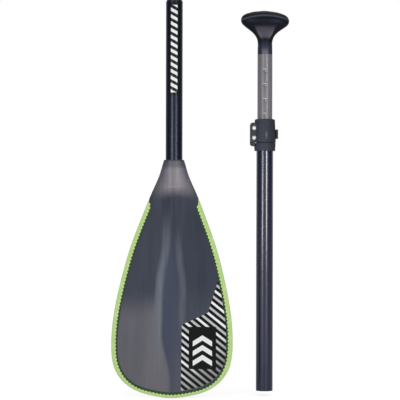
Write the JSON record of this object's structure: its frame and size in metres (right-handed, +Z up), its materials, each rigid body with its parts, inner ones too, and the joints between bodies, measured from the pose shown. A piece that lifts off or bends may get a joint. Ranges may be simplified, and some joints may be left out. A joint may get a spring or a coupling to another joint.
{
  "type": "single blade paddle",
  "caption": "Take-apart paddle laid out in two sections: a spoon blade on a shaft with a snap-button ferrule, and a telescoping T-grip section with a cam-lever clamp.",
  "frame": {"origin": "on the lower shaft's axis, at the middle of the bare stretch between the blade's neck and the printed marks, where a clip or rack holds the paddle", "axes": "+Z up along the lower shaft, away from the blade; -Y out of the front, the face that the blade leans towards; +X from the blade section to the grip section"},
  "size_m": [0.307, 0.0767, 0.7612],
  "materials": {
    "blade_laminate": "satin clear coat over woven laminate",
    "shaft_laminate": "satin woven laminate",
    "ferrule_laminate": "ground laminate",
    "tube_laminate": "satin",
    "foam": "closed-cell foam",
    "guard_plastic": "satin",
    "printed_film": "gloss film",
    "white_print": "printed",
    "moulded_plastic": "moulded",
    "collar_plastic": "satin moulded",
    "lever_plastic": "satin moulded",
    "grip_plastic": "satin moulded",
    "mark_fill": "filled",
    "spring_steel": "rolled",
    "button_steel": "turned",
    "screw_steel": "turned"
  },
  "bodies": {
    "blade_section": {"front_skin": "blade_laminate", "back_skin": "blade_laminate", "blade_core": "foam", "edge_guard": "guard_plastic", "blade_decal": "printed_film", "lower_shaft": "shaft_laminate", "shaft_decal": "white_print", "float_plug": "foam", "ferrule": "ferrule_laminate", "ferrule_plug": "moulded_plastic", "button_spring": "spring_steel"},
    "button": {"snap_button": "button_steel"},
    "grip_section": {"upper_shaft": "shaft_laminate", "clamp_collar": "collar_plastic", "guide_ring": "moulded_plastic", "clamp_screws": "screw_steel", "screw_washers": "screw_steel", "pivot_dowel": "screw_steel", "cam_plate": "screw_steel"},
    "lever": {"clamp_lever": "lever_plastic"},
    "extension": {"extension_tube": "tube_laminate", "scale_marks": "mark_fill", "tube_end_plug": "moulded_plastic", "grip_body": "grip_plastic", "palm_cap": "grip_plastic"}
  },
  "joints": [
    {"name": "button_press", "type": "slide", "parent": "blade_section", "child": "button", "axis": [0, 1, 0], "range_m": [-0.0026, 0], "stiffness_N_per_m": 1200, "springref_m": 0.002, "deforming": ["button_spring"]},
    {"name": "coupling_slide", "type": "slide", "parent": "blade_section", "child": "grip_section", "axis": [0, 0, 1], "range_m": [0, 0.075]},
    {"name": "lever_cam", "type": "hinge", "parent": "grip_section", "child": "lever", "pos_m": [0.1391, 0.0166, -0.0072], "axis": [0, 0, 1], "range_deg": [0, 150]},
    {"name": "length_slide", "type": "slide", "parent": "grip_section", "child": "extension", "axis": [0, 0, 1], "range_m": [-0.1, 0.16]}
  ]
}
